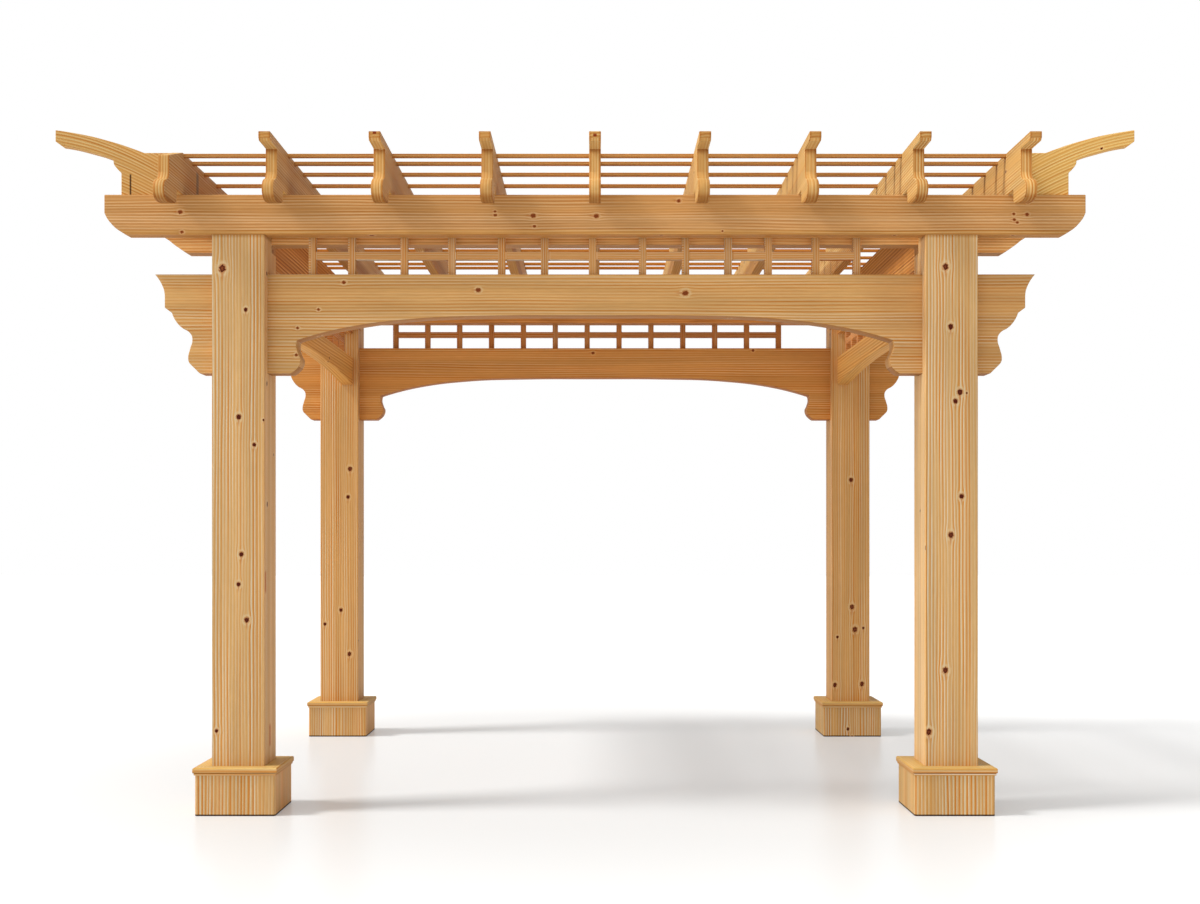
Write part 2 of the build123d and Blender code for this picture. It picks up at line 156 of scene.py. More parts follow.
# Distance between growth lines on each kind of piece
POST_PITCH = 0.0150
FOOT_PITCH = 0.0165
CAP_PITCH = 0.013
BEAM_PITCH = 0.0150
HEADER_PITCH = 0.0135
SIDE_PITCH = 0.018
LATTICE_PITCH = 0.011
RAFTER_PITCH = 0.0135
TAIL_PITCH = 0.015
SLAT_PITCH = 0.011

# Seeds of the grain: the first piece's, and the step to the next one
POST_SEEDS = (3.1, 7.3)
BOX_SEEDS = (40.1, 7.3)
CAP_SEEDS = (41.7, 7.3)
BEAM_SEEDS = (70.3, 11.9)
SIDE_SEEDS = (110.3, 9.1)
LATTICE_SEEDS = (140.3, 5.7)
RAFTER_SEEDS = (180.3, 6.7)
TAIL_SEEDS = (260.3, 8.3)
SLAT_SEEDS = (300.3, 8.3)
ROW_SEED = 2.9

# One growth ring, in shares of its pitch: where its orange and its pale line fade in and out
LATE_RISE = (0.28, 0.52)
LATE_FALL = (0.88, 0.70)
EARLY_SHIFT = 0.52
EARLY_RISE = (0.22, 0.10)

# How much the lines differ in strength from ring to ring
LATE_CHANCE = (0.0, 0.9, 0.45, 1.0)
EARLY_CHANCE = (0.1, 0.9, 0.15, 1.0)

# Width and length of the patches of noise in the wood
BEND_PATCH = (0.11, 1.3)
RIPPLE_PATCH = (0.03, 0.40)
SHARE_PATCH = (0.05, 0.7)
FIBRE_PATCH = (0.0022, 0.07)
TONE_PATCH = (0.07, 1.6)
RIPPLE = 0.004

# How noise turns into the lines' share, the tone, the fibres' tone and the roughness
SHARE_RANGE = (0.36, 0.56, 0.5, 1.0)
TONE_RANGE = (0.3, 0.7, 0.92, 1.08)
FIBRE_RANGE = (0.3, 0.7, 0.94, 1.05)
ROUGH_RANGE = (0.25, 0.75, 0.5, 0.68)

# Where the parts of a knot fade out and are full, in its radii
HEART_RADII = (1.0, 0.75)
RIM_RADII = (1.4, 1.0)
HALO_RADII = (2.3, 1.5)
PITH_RADII = (0.65, 0.15)
KNOT_TAIL_WIDTH = (0.55, 0.15)
KNOT_TAIL_START = (0.0, -0.5)
KNOT_TAIL_END = (-4.5, -1.0)

# How much wider a knot is than its dark heart in the photograph
KNOT_WIDTH = 1.12

# Stray knots: one cell for each, the share of cells that hold one, and the radii
STRAY_WIDTH = 0.13
STRAY_LENGTH = 0.55
STRAY_SHARE = 0.35
STRAY_RADII = (0.005, 0.010)

# Where stains and painted light and shade begin and are full, in metres from the edge or face that they
# follow
UNDER_HEADER = (-0.020, -0.001)
HEADER_SHADE_BAND = (0.026, 0.014)
HEADER_LIGHT_BAND = (0.02, -0.02)
STEP_LIGHT_BAND = (0.11, 0.08)
BEAM_SHADE_BAND = (-0.35, -0.15)
LEFT_EDGE_BAND = (0.013, 0.001)
RIGHT_EDGE_BAND = (-0.013, -0.001)
NOSE_HEIGHT = 0.040
NECK_HEIGHT = (-0.030, 0.0)
NECK_DEPTH = (0.08, 0.10)
BULB_HEIGHT = (0.035, 0.004)
SHADE_HEIGHT = (0.11, 0.06)
FLOOR_SHADOW_HEIGHT = (0.009, 0.006)
CAP_SHADOW_TOP = (0.005, 0.002)
CAP_SHADOW_FOOT = (-0.004, -0.001)
FILLET_LIGHT_BAND = (-0.002, -0.004)
FRONT_FACE = (0.02, 0.01)
NOSE_FACE = (0.03, 0.02)
RIGHT_FACE = (-0.02, -0.01)

# Places along Y where the rafters' painted shade and the painted shade of the far slats begin and are full
SHADE_PLACES = (-1.25, -1.05)
SLAT_SHADE_SPAN = (-1.3, 0.0)

# Grain of the corner tails: how far out it starts, how steeply it climbs there and how it bends
TAIL_START = 1.80
TAIL_CLIMB = 0.75
TAIL_BEND = 0.44

# Lamps: apparent width in degrees, and the direction that they stand towards
SUN_WIDTH = 14.0
SUN_TOWARDS = (-1.0, -0.20, 1.22)
FILL_WIDTH = 90.0
FILL_TOWARDS = (-0.55, -0.83, 0.18)

# The floor as light meets it and as the camera sees it
FLOOR_SIZE = 80.0
FLOOR_COLOUR = (0.80, 0.805, 0.82, 1.0)
FLOOR_SEEN = (0.60, 0.60, 0.59, 1.0)

# Distances from the middle where the floor's glow, a painted light that lightens the floor and fades its
# shadows, starts to grow and is full, and its share before
FADE_NEAR = 1.7
FADE_FAR = 4.2
NEAR_GLOW = 0.43


def spot_at(column, row, depth):
    """X and Z of a pixel of the photograph on an upright plane at a Y."""
    scale = (depth - EYE.y) / FOCAL_PIXELS
    return (column - CENTRE_COLUMN) * scale, EYE.z + (HORIZON_ROW - row) * scale


def knots_on(name):
    """X, Z and radius of a timber's knots, where the photograph shows them on its front face."""
    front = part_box(name)[0].y
    width = KNOT_WIDTH * (front - EYE.y) / FOCAL_PIXELS
    knots = KNOT_PIXELS.get(name, ())
    return [(*spot_at(column, row, front), radius * width) for column, row, radius in knots]


def seed_of(seeds, index):
    """Seed of the piece with this number in its group."""
    first, step = seeds
    return first + step * index


def ramp(axis, start, band):
    """Where a stain or a painted light or shade begins and is full along an axis, from a place."""
    return axis, start + band[0], start + band[1]


def patch(axis, across, half_width, low, high, factors, side, soft=0.003):
    """Stain on a small patch: across an axis, between two heights and on one side of the timber."""
    ramps = (
        (axis, across - half_width - soft, across - half_width),
        (axis, across + half_width + soft, across + half_width),
        ("Z", low - 2.0 * soft, low),
        ("Z", high + 2.0 * soft, high),
        side,
    )
    return ramps, factors, side[0]


# Short calls for shader nodes


def node(tree, kind, **settings):
    """Adds a shader node with its settings."""
    made = tree.nodes.new("ShaderNode" + kind)
    for key, value in settings.items():
        setattr(made, key, value)
    return made


def put(tree, socket, value):
    """Feeds a socket from another node's output, or sets it."""
    if isinstance(value, bpy.types.NodeSocket):
        tree.links.new(value, socket)
    else:
        socket.default_value = value


def calc(tree, operation, *values):
    """Result of a Math node."""
    made = node(tree, "Math", operation=operation)
    for socket, value in zip(made.inputs, values):
        put(tree, socket, value)
    return made.outputs[0]


def add(tree, *values):
    """Sum of two or more numbers."""
    total = values[0]
    for value in values[1:]:
        total = calc(tree, "ADD", total, value)
    return total


def times(tree, *values):
    """Product of two or more numbers."""
    product = values[0]
    for value in values[1:]:
        product = calc(tree, "MULTIPLY", product, value)
    return product


def less(tree, first, second):
    """Difference of two numbers."""
    return calc(tree, "SUBTRACT", first, second)


def over(tree, first, second):
    """Quotient of two numbers."""
    return calc(tree, "DIVIDE", first, second)


def between(tree, factor, first, second):
    """Number between two others."""
    made = node(tree, "Mix", data_type="FLOAT")
    put(tree, made.inputs[0], factor)
    put(tree, made.inputs[2], first)
    put(tree, made.inputs[3], second)
    return made.outputs[0]


def tint(tree, factor, first, second, way="MIX"):
    """Colour mixed from two others."""
    made = node(tree, "Mix", data_type="RGBA", blend_type=way)
    put(tree, made.inputs[0], factor)
    put(tree, made.inputs[6], first)
    put(tree, made.inputs[7], second)
    return made.outputs[2]


def point(tree, x, y, z=0.0):
    """Vector from three numbers."""
    made = node(tree, "CombineXYZ")
    put(tree, made.inputs[0], x)
    put(tree, made.inputs[1], y)
    put(tree, made.inputs[2], z)
    return made.outputs[0]


def noise(tree, across, along, width, length, seed, detail=1.0):
    """Smooth noise between about 0.25 and 0.75, with patches of a given width and length in metres."""
    made = node(tree, "TexNoise", noise_dimensions="3D")
    put(tree, made.inputs["Vector"], point(tree, over(tree, across, width), over(tree, along, length), seed))
    made.inputs["Scale"].default_value = 1.0
    made.inputs["Detail"].default_value = detail
    return made.outputs[0]


def spread(tree, value, low, high, bottom=0.0, top=1.0):
    """Number stretched smoothly from low..high to bottom..top."""
    made = node(tree, "MapRange", interpolation_type="SMOOTHSTEP")
    put(tree, made.inputs[0], value)
    for socket, limit in zip(made.inputs[1:5], (low, high, bottom, top)):
        socket.default_value = limit
    return made.outputs[0]


def new_group(name, inputs, outputs):
    """Empty node group with number sockets: its tree, what it is given and what it makes."""
    tree = bpy.data.node_groups.new(name, "ShaderNodeTree")
    for label in inputs:
        tree.interface.new_socket(label, in_out="INPUT", socket_type="NodeSocketFloat")
    for label in outputs:
        tree.interface.new_socket(label, in_out="OUTPUT", socket_type="NodeSocketFloat")
    return tree, tree.nodes.new("NodeGroupInput").outputs, tree.nodes.new("NodeGroupOutput").inputs


def use(tree, group, *values):
    """Adds a node group, feeds its sockets in order and gives its outputs."""
    made = node(tree, "Group")
    made.node_tree = group
    for socket, value in zip(made.inputs, values):
        put(tree, socket, value)
    return made.outputs


# What pine looks like


def growth_lines(tree, across, pitch, seed):
    """Strength of the orange and of the pale line of each growth ring, different from ring to ring."""
    phase = add(tree, over(tree, across, pitch), 400.0)
    part = calc(tree, "FRACT", phase)
    chance = node(tree, "TexWhiteNoise", noise_dimensions="2D")
    put(tree, chance.inputs["Vector"], point(tree, calc(tree, "FLOOR", phase), seed))
    chances = node(tree, "SeparateColor")
    tree.links.new(chance.outputs["Color"], chances.inputs[0])
    late = times(tree, spread(tree, part, *LATE_RISE), spread(tree, part, *LATE_FALL))
    late = times(tree, late, spread(tree, chances.outputs[0], *LATE_CHANCE))
    edge = calc(tree, "ABSOLUTE", less(tree, calc(tree, "FRACT", add(tree, part, EARLY_SHIFT)), 0.5))
    early = times(tree, spread(tree, edge, *EARLY_RISE), spread(tree, chances.outputs[1], *EARLY_CHANCE))
    return late, early


def figure_group():
    """Growth lines along a face: strength of the orange and of the pale line, fibres and broad tone."""
    inputs = ("Across", "Along", "Seed", "Pitch", "Wander")
    tree, given, made = new_group("Pine figure", inputs, ("Orange", "Pale", "Fibre", "Tone"))
    across, along, seed, pitch, wander = [given[label] for label in inputs]
    slow = less(tree, noise(tree, across, along, *BEND_PATCH, seed), 0.5)
    quick = less(tree, noise(tree, across, along, *RIPPLE_PATCH, seed), 0.5)
    bent = add(tree, across, times(tree, slow, wander), times(tree, quick, RIPPLE))
    late, early = growth_lines(tree, bent, pitch, seed)
    fine_late, fine_early = growth_lines(tree, bent, over(tree, pitch, 2.7), add(tree, seed, 31.7))
    patches = noise(tree, across, along, *SHARE_PATCH, add(tree, seed, 9.0))
    share = spread(tree, patches, *SHARE_RANGE)
    orange = calc(tree, "MAXIMUM", times(tree, late, share), times(tree, fine_late, 0.5))
    pale = calc(tree, "MAXIMUM", times(tree, early, share), times(tree, fine_early, 0.4))
    put(tree, made["Orange"], orange)
    put(tree, made["Pale"], pale)
    put(tree, made["Fibre"], noise(tree, across, along, *FIBRE_PATCH, seed, 2.0))
    put(tree, made["Tone"], noise(tree, across, along, *TONE_PATCH, seed))
    return tree


def knot_group():
    """One knot: pushes the grain round it and has a dark heart, a rim with a tail, and a pale halo."""
    inputs = ("Across", "Along", "Centre across", "Centre along", "Radius", "Seen")
    tree, given, made = new_group("Pine knot", inputs, ("Across", "Heart", "Rim", "Halo", "Pith"))
    across, along, centre_across, centre_along, radius, seen = [given[label] for label in inputs]
    aside = less(tree, across, centre_across)
    down = less(tree, along, centre_along)
    wide = calc(tree, "POWER", over(tree, aside, times(tree, radius, 2.0)), 2.0)
    tall = calc(tree, "POWER", over(tree, down, times(tree, radius, 3.0)), 2.0)
    pull = calc(tree, "EXPONENT", times(tree, add(tree, wide, tall), -1.0))
    put(tree, made["Across"], less(tree, across, times(tree, aside, pull, 0.55, seen)))
    length = node(tree, "VectorMath", operation="LENGTH")
    put(tree, length.inputs[0], point(tree, aside, times(tree, down, 0.85)))
    rough = less(tree, noise(tree, aside, down, 0.006, 0.006, centre_along), 0.5)
    gap = add(tree, over(tree, length.outputs["Value"], radius), rough)
    narrow = spread(tree, calc(tree, "ABSOLUTE", over(tree, aside, radius)), *KNOT_TAIL_WIDTH)
    below = over(tree, down, radius)
    tail = times(tree, narrow, spread(tree, below, *KNOT_TAIL_END), spread(tree, below, *KNOT_TAIL_START))
    put(tree, made["Heart"], times(tree, spread(tree, gap, *HEART_RADII), seen))
    put(tree, made["Rim"], times(tree, calc(tree, "MAXIMUM", spread(tree, gap, *RIM_RADII), tail), seen))
    put(tree, made["Halo"], times(tree, spread(tree, gap, *HALO_RADII), seen))
    put(tree, made["Pith"], times(tree, spread(tree, gap, *PITH_RADII), spread(tree, radius, 0.011, 0.015)))
    return tree


def shared_groups():
    """The shared node groups, each made once."""
    figure = bpy.data.node_groups.get("Pine figure") or figure_group()
    knot = bpy.data.node_groups.get("Pine knot") or knot_group()
    return figure, knot


class TimberFaces:
    """Place across and along the grain on each face of a timber, from its position and normal."""

    def __init__(self, tree, grain, broad):
        spot = node(tree, "SeparateXYZ")
        tree.links.new(node(tree, "TexCoord").outputs["Object"], spot.inputs[0])
        facing = node(tree, "SeparateXYZ")
        tree.links.new(node(tree, "NewGeometry").outputs["True Normal"], facing.inputs[0])
        self.tree, self.spot, self.facing = tree, spot.outputs, facing.outputs
        third = next(axis for axis in "XYZ" if axis not in (grain, broad))
        on_broad = self.faces(broad, 0.5)
        self.across = between(tree, on_broad, self.spot[broad], self.spot[third])
        self.along = add(tree, self.spot[grain], between(tree, on_broad, self.spot[third], 0.0))
        self.end = 0.0

    def faces(self, axis, limit):
        """1 where the surface faces along an axis, either way."""
        return calc(self.tree, "GREATER_THAN", calc(self.tree, "ABSOLUTE", self.facing[axis]), limit)

    def show_ends(self, grain, broad, above, pith):
        """Rings on the ends of the timber above a height, round a pith at a place."""
        tree = self.tree
        third = next(axis for axis in "XYZ" if axis not in (grain, broad))
        end = times(tree, self.faces(grain, 0.8), calc(tree, "GREATER_THAN", self.spot["Z"], above))
        round_pith = node(tree, "VectorMath", operation="LENGTH")
        heart = point(tree, less(tree, self.spot[broad], pith[0]), less(tree, self.spot[third], pith[1]))
        put(tree, round_pith.inputs[0], heart)
        self.across = between(tree, end, self.across, round_pith.outputs["Value"])
        self.end = end


def shade(colour, factors):
    """Colour multiplied by three factors, with its alpha."""
    return (*[part * factor for part, factor in zip(colour, factors)], 1.0)


def knotted(tree, knot, faces, knots, grain, seed, stray):
    """Pushes the grain round the listed and the stray knots: heart, rim, halo and pith of them all."""
    heart, rim, halo, pith = 0.0, 0.0, 0.0, 0.0
    in_front = calc(tree, "LESS_THAN", faces.facing["Y"], -0.5)
    places = []
    for x, z, radius in knots:
        across, along = (x, z) if grain == "Z" else (z, x)
        places.append((across, along, radius, in_front))
    if stray:
        cell = node(tree, "TexVoronoi", voronoi_dimensions="2D")
        cell.inputs["Scale"].default_value = 1.0
        aside = add(tree, over(tree, faces.across, STRAY_WIDTH), seed)
        put(tree, cell.inputs["Vector"], point(tree, aside, over(tree, faces.along, STRAY_LENGTH)))
        middle = node(tree, "SeparateXYZ")
        tree.links.new(cell.outputs["Position"], middle.inputs[0])
        chance = node(tree, "SeparateColor")
        tree.links.new(cell.outputs["Color"], chance.inputs[0])
        there = calc(tree, "LESS_THAN", chance.outputs[0], stray)
        if knots:
            there = times(tree, there, less(tree, 1.0, in_front))
        radius = spread(tree, chance.outputs[1], 0.0, 1.0, *STRAY_RADII)
        centre = times(tree, less(tree, middle.outputs[0], seed), STRAY_WIDTH)
        places.append((centre, times(tree, middle.outputs[1], STRAY_LENGTH), radius, there))
    for centre_across, centre_along, radius, seen in places:
        near = use(tree, knot, faces.across, faces.along, centre_across, centre_along, radius, seen)
        faces.across = near["Across"]
        pith = between(tree, near["Heart"], pith, near["Pith"])
        heart = calc(tree, "MAXIMUM", near["Heart"], heart)
        rim = calc(tree, "MAXIMUM", near["Rim"], rim)
        halo = calc(tree, "MAXIMUM", near["Halo"], halo)
    return heart, rim, halo, pith


def pine(name, colour, grain, broad, seed, pitch, strength=1.0, wander=0.02, knots=(), **options):
    """Planed pine with growth lines along the grain, fibres, knots, roughness and a fine relief."""
    figure, knot = shared_groups()
    material = bpy.data.materials.new(name)
    material.use_nodes = True
    tree = material.node_tree
    surface = tree.nodes["Principled BSDF"]
    faces = TimberFaces(tree, grain, broad)
    if "shape" in options:
        options["shape"](faces)
    stray = options.get("stray", STRAY_SHARE)
    heart, rim, halo, pith = knotted(tree, knot, faces, knots, grain, seed, stray)
    if "ends_above" in options:
        faces.show_ends(grain, broad, options["ends_above"], options["pith"])
    drawn = use(tree, figure, faces.across, faces.along, seed, pitch, wander)
    late_wood, early_wood = [shade(colour, line) for line in options.get("lines", SOFT_LINES)]
    wood = tint(tree, times(tree, drawn["Orange"], strength), (*colour, 1.0), late_wood)
    wood = tint(tree, times(tree, drawn["Pale"], strength), wood, early_wood)
    level = times(
        tree,
        spread(tree, drawn["Tone"], *TONE_RANGE),
        spread(tree, drawn["Fibre"], *FIBRE_RANGE),
    )
    grey = node(tree, "CombineColor")
    for socket in grey.inputs:
        tree.links.new(level, socket)
    wood = tint(tree, 1.0, wood, grey.outputs[0], "MULTIPLY")
    wood = tint(tree, faces.end, wood, shade(PLAIN, END_GRAIN), "MULTIPLY")
    # Stains, and painted light and shade, multiplied into the wood by place and facing
    for ramps, factors, facing in options.get("stains", ()):
        shares = [spread(tree, faces.spot[axis], clear, full) for axis, clear, full in ramps]
        reach = times(tree, *shares, 1.0)
        if facing:
            reach = times(tree, reach, faces.faces(facing, 0.5))
        wood = tint(tree, reach, wood, shade(PLAIN, factors), "MULTIPLY")
    wood = tint(tree, times(tree, halo, 0.65), wood, shade(colour, KNOT_HALO))
    wood = tint(tree, times(tree, rim, 0.7), wood, shade(colour, KNOT_RIM))
    wood = tint(tree, heart, wood, tint(tree, pith, options.get("heart", KNOT_HEART), KNOT_PITH))
    tree.links.new(wood, surface.inputs["Base Color"])
    tree.links.new(spread(tree, drawn["Fibre"], *ROUGH_RANGE), surface.inputs["Roughness"])
    surface.inputs["Specular IOR Level"].default_value = 0.08
    relief = node(tree, "Bump")
    relief.inputs["Strength"].default_value = 0.3
    relief.inputs["Distance"].default_value = 0.0006
    tree.links.new(add(tree, drawn["Orange"], drawn["Fibre"]), relief.inputs["Height"])
    tree.links.new(relief.outputs[0], surface.inputs["Normal"])
    return material


def dress(name, material):
    """Gives a CAD node its finish."""
    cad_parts[name].material_slots[0].material = material


# How the grain runs on the pieces whose faces don't simply follow it


def cap_grain(centre):
    """Grain along each mitred cap board, round the post at a centre."""

    def shape(faces):
        tree, spot = faces.tree, faces.spot
        beside = less(tree, spot["X"], centre.x)
        before = less(tree, spot["Y"], centre.y)
        far_beside, far_before = [calc(tree, "ABSOLUTE", way) for way in (beside, before)]
        side_board = calc(tree, "GREATER_THAN", far_beside, far_before)
        flat = between(tree, side_board, before, beside)
        faces.across = between(tree, faces.faces("Z", 0.5), spot["Z"], flat)
        faces.along = between(tree, side_board, spot["X"], spot["Y"])

    return shape


def lattice_grain(name, axis):
    """Upright grain on the bars and level grain on the rails between them."""

    def shape(faces):
        tree, spot = faces.tree, faces.spot
        low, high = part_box(name)
        bars = node(tree, "ValToRGB")
        stops = bars.color_ramp.elements
        bars.color_ramp.interpolation = "CONSTANT"
        stops.remove(stops[1])
        stops[0].color = (0.0, 0.0, 0.0, 1.0)
        start, end = low["XYZ".index(axis)], high["XYZ".index(axis)]
        for first, last in bar_places(name, axis):
            for place, tone in ((first, 1.0), (last, 0.0)):
                stop = stops.new((place - start) / (end - start))
                stop.color = (tone, tone, tone, 1.0)
        put(tree, bars.inputs[0], over(tree, less(tree, spot[axis], start), end - start))
        on_bar = bars.outputs[0]
        faces.along = between(tree, on_bar, spot[axis], spot["Z"])
        faces.across = between(tree, on_bar, spot["Z"], faces.across)

    return shape


def bar_places(name, axis):
    """First and last place along an axis of each upright bar of a lattice, from its lowest corners."""
    index = "XYZ".index(axis)
    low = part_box(name)[0].z
    spots = [corner.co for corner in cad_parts[name].data.vertices]
    feet = sorted({round(spot[index], 4) for spot in spots if spot.z < low + 0.0005})
    return list(zip(feet[::2], feet[1::2]))


def tail_grain(faces):
    """Grain that climbs steeply on the body of a corner tail and bends along its rising horn."""
    tree, spot = faces.tree, faces.spot
    out = less(tree, calc(tree, "ABSOLUTE", spot["X"]), TAIL_START)
    climb = less(tree, times(tree, out, TAIL_CLIMB), times(tree, out, out, TAIL_BEND))
    on_side = faces.faces("Y", 0.5)
    faces.across = less(tree, faces.across, times(tree, climb, on_side))


# Sizes and colours that a user would change


def colour_setting(label, about, default):
    """Colour property of a finish."""
    return bpy.props.FloatVectorProperty(
        name=label, description=about, subtype="COLOR", size=3, min=0.0, max=1.0, default=default
    )


def length_setting(label, about, default):
    """Length property in metres."""
    return bpy.props.FloatProperty(name=label, description=about, min=0.0, default=default, unit="LENGTH")


def strength_setting(label, about, default):
    """Strength property of a light."""
    return bpy.props.FloatProperty(name=label, description=about, min=0.0, default=default)


class PergolaWood(bpy.types.PropertyGroup):
    post_colour: colour_setting("Posts", "Pine of the posts", (0.62, 0.38, 0.142))
    foot_colour: colour_setting("Feet", "Pine of the boxed feet", (0.58, 0.345, 0.12))
    cap_colour: colour_setting("Foot caps", "Pine of the caps on the feet", (0.60, 0.34, 0.11))
    header_colour: colour_setting("Headers", "Pine of the paired headers", (0.57, 0.285, 0.088))
    beam_colour: colour_setting("Arched beams", "Pine of the arched beams", (0.62, 0.355, 0.121))
    side_colour: colour_setting("Side headers", "Pine of the side headers", (0.58, 0.235, 0.05))
    rail_colour: colour_setting("Side rails", "Pine of the side rails", (0.68, 0.335, 0.08))
    front_lattice_colour: colour_setting("Front lattice", "Pine of the front lattice", (0.60, 0.32, 0.105))
    lattice_colour: colour_setting("Lattices", "Pine of the other lattices", (0.54, 0.23, 0.06))
    rafter_colour: colour_setting("Rafters", "Pine of the rafters and corner tails", (0.64, 0.38, 0.12))
    slat_colour: colour_setting("Slats", "Pine of the roof slats", (0.54, 0.235, 0.055))
    edge_width: length_setting("Eased edges", "Width of the timbers' rounded edges", 0.003)
    board_ease: length_setting("Eased boards", "Width of the rounded edges of the feet's boards", 0.0018)
    board_thickness: length_setting("Foot boards", "Thickness of the feet's boards", 0.028)
    board_corner: length_setting("Foot corners", "Flat on the upright corners of the feet", 0.007)
    fillet_height: length_setting("Fillet height", "Height of the fillet under a foot's cap", 0.011)
    fillet_setback: length_setting("Fillet setback", "How far the fillet stands behind the cap", 0.005)
    cap_slope: length_setting("Cap slope", "Flat along the top edge of a foot's cap", 0.004)


class PergolaStudio(bpy.types.PropertyGroup):
    sun: strength_setting("Sun", "Strength of the lamp from the left", 2.8)
    fill: strength_setting("Fill", "Strength of the soft lamp from the front", 1.4)
    sky: strength_setting("Sky", "Strength of the even light from all round", 0.42)
    glow: strength_setting("Floor glow", "How much whiter the floor is to the camera where it is far", 0.40)


class PergolaOperator:
    bl_options = {"REGISTER", "UNDO"}

    def execute(self, context):
        self.make(context, context.scene.pergola_wood)
        return {"FINISHED"}


class PERGOLA_OT_stage(PergolaOperator, bpy.types.Operator):
    """Camera at the photograph's place, pale floor and plain studio light"""

    bl_idname = "pergola.stage"
    bl_label = "Stage"

    def make(self, context, wood):
        studio = context.scene.pergola_studio
        context.scene.view_settings.view_transform = "Standard"
        self.camera(context)
        self.lamp(context, "Sun from the left", studio.sun, SUN_WIDTH, SUN_TOWARDS)
        self.lamp(context, "Soft light from the front", studio.fill, FILL_WIDTH, FILL_TOWARDS)
        self.sky(context, studio.sky)
        self.floor(studio.glow)

    def camera(self, context):
        """Level view from the photograph's eye point, with its framing."""
        data = bpy.data.cameras.new("Photograph view")
        data.sensor_width = SENSOR
        data.lens = FOCAL_PIXELS / PHOTO_WIDTH * SENSOR
        data.shift_x = (PHOTO_WIDTH / 2 - CENTRE_COLUMN) / PHOTO_WIDTH
        data.shift_y = (HORIZON_ROW - PHOTO_HEIGHT / 2) / PHOTO_WIDTH
        view = bpy.data.objects.new("Photograph view", data)
        view.location = EYE
        view.rotation_euler = (math.pi / 2, 0.0, 0.0)
        context.collection.objects.link(view)
        context.scene.camera = view

    def lamp(self, context, name, strength, width, towards):
        """Sun lamp of an apparent width in degrees, that stands towards a direction."""
        light = bpy.data.lights.new(name, "SUN")
        light.energy = strength
        light.angle = math.radians(width)
        lamp = bpy.data.objects.new(name, light)
        lamp.rotation_euler = Vector(towards).to_track_quat("Z", "Y").to_euler()
        context.collection.objects.link(lamp)

    def sky(self, context, strength):
        """Even light all round, that the camera and the floor's gloss see as white."""
        world = bpy.data.worlds.new("Studio")
        context.scene.world = world
        world.use_nodes = True
        tree = world.node_tree
        back = tree.nodes["Background"]
        back.inputs["Color"].default_value = (1.0, 1.0, 1.0, 1.0)
        rays = node(tree, "LightPath")
        seen = calc(tree, "MAXIMUM", rays.outputs["Is Camera Ray"], rays.outputs["Is Glossy Ray"])
        tree.links.new(between(tree, seen, strength, 1.0), back.inputs["Strength"])

    def floor(self, glow):
        """Wide pale floor that keeps the shadow; to the camera alone it has a darker base and a painted glow
        that lightens it and its shadows and turns it white away from the pergola.
        """
        bpy.ops.object.select_all(action="DESELECT")
        bpy.ops.mesh.primitive_plane_add(size=FLOOR_SIZE, location=(0.0, 0.0, 0.0))
        ground = bpy.context.active_object
        ground.name = "Floor"
        material = bpy.data.materials.new("Pale floor")
        material.use_nodes = True
        tree = material.node_tree
        surface = tree.nodes["Principled BSDF"]
        surface.inputs["Roughness"].default_value = 0.25
        surface.inputs["Specular IOR Level"].default_value = 0.02
        surface.inputs["Emission Color"].default_value = (1.0, 1.0, 1.0, 1.0)
        seen = node(tree, "LightPath").outputs["Is Camera Ray"]
        tree.links.new(tint(tree, seen, FLOOR_COLOUR, FLOOR_SEEN), surface.inputs["Base Color"])
        away = node(tree, "VectorMath", operation="LENGTH")
        tree.links.new(node(tree, "TexCoord").outputs["Object"], away.inputs[0])
        level = spread(tree, away.outputs["Value"], FADE_NEAR, FADE_FAR, NEAR_GLOW * glow, glow)
        tree.links.new(times(tree, seen, level), surface.inputs["Emission Strength"])
        ground.data.materials.append(material)


class PERGOLA_OT_posts(PergolaOperator, bpy.types.Operator):
    """Planed pine with its knots on the four posts"""

    bl_idname = "pergola.posts"
    bl_label = "Posts"

    def make(self, context, wood):
        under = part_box("outer_header_front")[0].z
        for index, place in enumerate(POSTS):
            name = "post_" + place
            stains = [((ramp("Z", under, UNDER_HEADER),), SHADED_TOP, None)]
            if "front" in place:
                # Painted light on the sides of the front posts
                stains.append(((), LEFT_POST_LIGHT if "left" in place else RIGHT_POST_LIGHT, "X"))
            if place == "front_left":
                stains += [self.streak(*streak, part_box(name)[1].x) for streak in SIDE_STREAKS]
            material = pine(
                name + " pine",
                # The back posts get painted shade: a deeper tone
                shade(wood.post_colour, BACK_POST_PAINTED_SHADE if "back" in place else PLAIN)[:3],
                "Z",
                "Y",
                seed_of(POST_SEEDS, index),
                POST_PITCH,
                knots=knots_on(name),
                stains=stains,
            )
            dress(name, material)

    def streak(self, column, head, foot, side):
        """Red-brown streak that the photograph shows on the inner side of a post."""
        depth = EYE.y + side * FOCAL_PIXELS / (column - CENTRE_COLUMN)
        low, high = [spot_at(column, row, depth)[1] for row in (foot, head)]
        return patch("Y", depth, 0.008, low, high, STREAK, ramp("X", side, RIGHT_FACE), 0.012)


